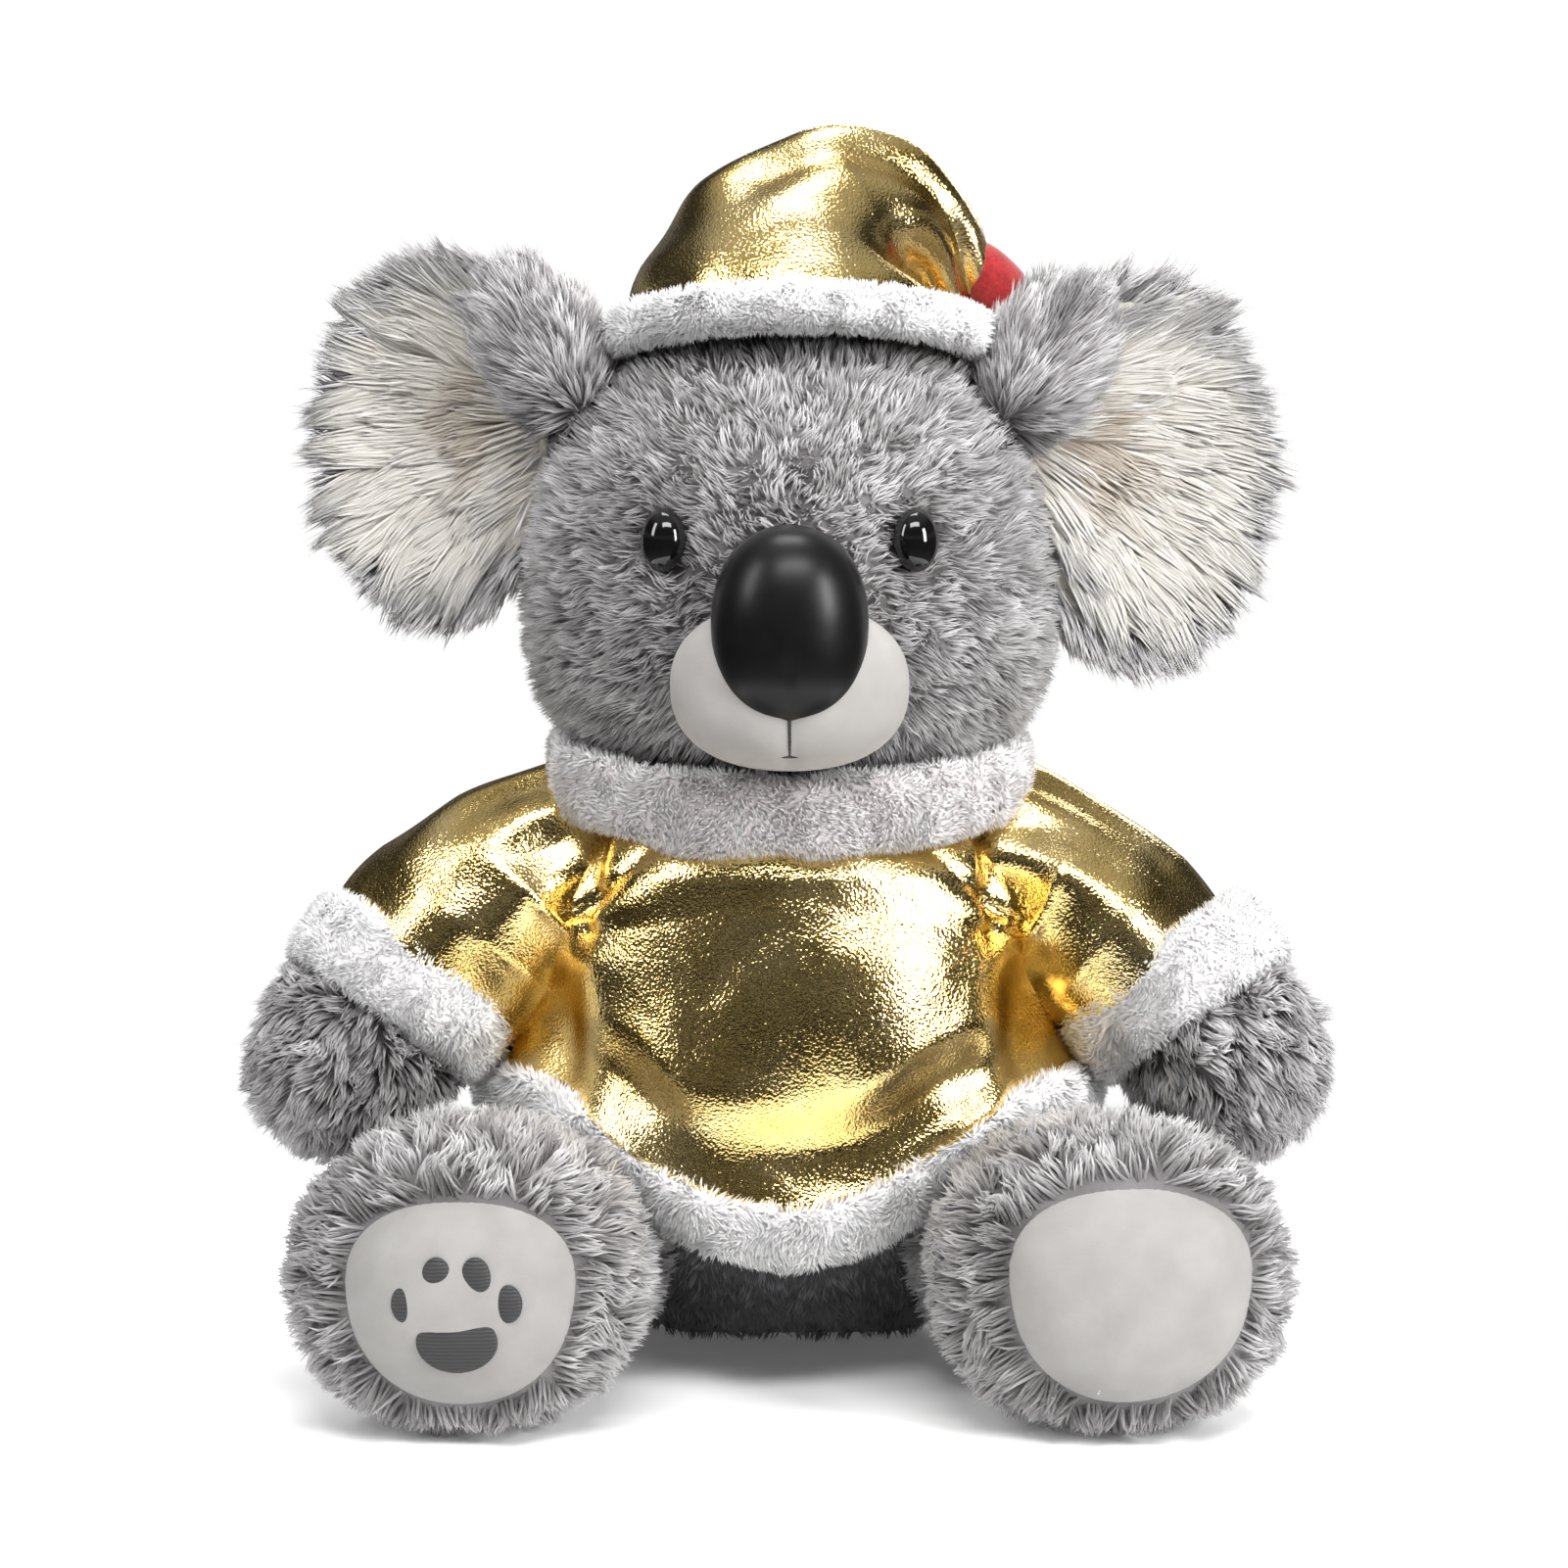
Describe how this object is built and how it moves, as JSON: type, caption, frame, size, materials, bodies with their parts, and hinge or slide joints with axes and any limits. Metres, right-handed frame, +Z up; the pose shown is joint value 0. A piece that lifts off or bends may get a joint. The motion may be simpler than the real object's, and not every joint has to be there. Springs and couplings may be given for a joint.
{
  "type": "plush koala",
  "caption": "Seated stuffed koala with large ears, dressed in a short-sleeved foil jumper and a pointed, folded hat; soft toy to hold or display.",
  "frame": {"origin": "on the surface that the toy sits on, under the middle of its bounding box", "axes": "+Z up, -Y the way the face looks, +X to the right as seen from the front"},
  "size_m": [0.244, 0.1516, 0.2803],
  "materials": {
    "grey_plush": "frosted short pile",
    "ear_fluff": "long soft pile",
    "short_white_plush": "velour",
    "white_trim": "dense short pile",
    "gold_foil_cloth": "metallic foil on jersey",
    "red_felt": "felt",
    "eye_black": "gloss",
    "nose_black": "satin",
    "washer_plastic": "natural",
    "fibre_fill": "loose fibre",
    "pellet_cloth": "plain weave"
  },
  "bodies": {
    "torso": {"torso_skin": "grey_plush", "torso_fill": "fibre_fill", "pellet_bag": "pellet_cloth", "jumper_body": "gold_foil_cloth", "collar_trim": "white_trim", "hem_trim": "white_trim"},
    "head": {"head_skin": "grey_plush", "head_fill": "fibre_fill", "muzzle": "short_white_plush", "nose": "nose_black", "nose_washer": "washer_plastic", "eye_left": "eye_black", "eye_right": "eye_black", "eye_washer_left": "washer_plastic", "eye_washer_right": "washer_plastic"},
    "hat": {"hat_crown": "gold_foil_cloth", "hat_brim": "white_trim", "hat_tail": "red_felt", "hat_pompom": "white_trim"},
    "ear_left": {"ear_back_left": "grey_plush", "ear_front_left": "ear_fluff"},
    "ear_right": {"ear_back_right": "grey_plush", "ear_front_right": "ear_fluff"},
    "arm_left": {"arm_skin_left": "grey_plush", "arm_fill_left": "fibre_fill", "sleeve_left": "gold_foil_cloth", "cuff_left": "white_trim"},
    "arm_right": {"arm_skin_right": "grey_plush", "arm_fill_right": "fibre_fill", "sleeve_right": "gold_foil_cloth", "cuff_right": "white_trim"},
    "leg_left": {"leg_skin_left": "grey_plush", "leg_fill_left": "fibre_fill", "foot_sole_left": "short_white_plush"},
    "leg_right": {"leg_skin_right": "grey_plush", "leg_fill_right": "fibre_fill", "foot_sole_right": "short_white_plush"}
  },
  "joints": [
    {"name": "head_turn", "type": "hinge", "parent": "torso", "child": "head", "pos_m": [0, 0.0135, 0.1337], "axis": [0, 0, 1], "range_deg": [-20, 20], "stiffness_Nm_per_rad": 0.4},
    {"name": "hat_lift", "type": "slide", "parent": "head", "child": "hat", "axis": [0, 0.2079, 0.9781], "range_m": [0, 0.075]},
    {"name": "ear_fold_left", "type": "hinge", "parent": "head", "child": "ear_left", "pos_m": [-0.05036, 0.0165, 0.213], "axis": [0.0698, 0, 0.9976], "range_deg": [-15, 12], "stiffness_Nm_per_rad": 0.1},
    {"name": "ear_fold_right", "type": "hinge", "parent": "head", "child": "ear_right", "pos_m": [0.05036, 0.0165, 0.205], "axis": [-0.1392, 0, -0.9903], "range_deg": [-15, 12], "stiffness_Nm_per_rad": 0.1},
    {"name": "arm_swing_left", "type": "hinge", "parent": "torso", "child": "arm_left", "pos_m": [-0.047, 0.0195, 0.114], "axis": [-1, 0, 0], "range_deg": [-15, 45], "stiffness_Nm_per_rad": 0.3},
    {"name": "arm_swing_right", "type": "hinge", "parent": "torso", "child": "arm_right", "pos_m": [0.047, 0.0195, 0.114], "axis": [-1, 0, 0], "range_deg": [-15, 45], "stiffness_Nm_per_rad": 0.3},
    {"name": "leg_splay_left", "type": "hinge", "parent": "torso", "child": "leg_left", "pos_m": [-0.042, -0.0035, 0.028], "axis": [0, 0, -1], "range_deg": [-10, 10], "stiffness_Nm_per_rad": 0.4},
    {"name": "leg_splay_right", "type": "hinge", "parent": "torso", "child": "leg_right", "pos_m": [0.042, -0.0035, 0.028], "axis": [0, 0, 1], "range_deg": [-10, 10], "stiffness_Nm_per_rad": 0.4}
  ]
}
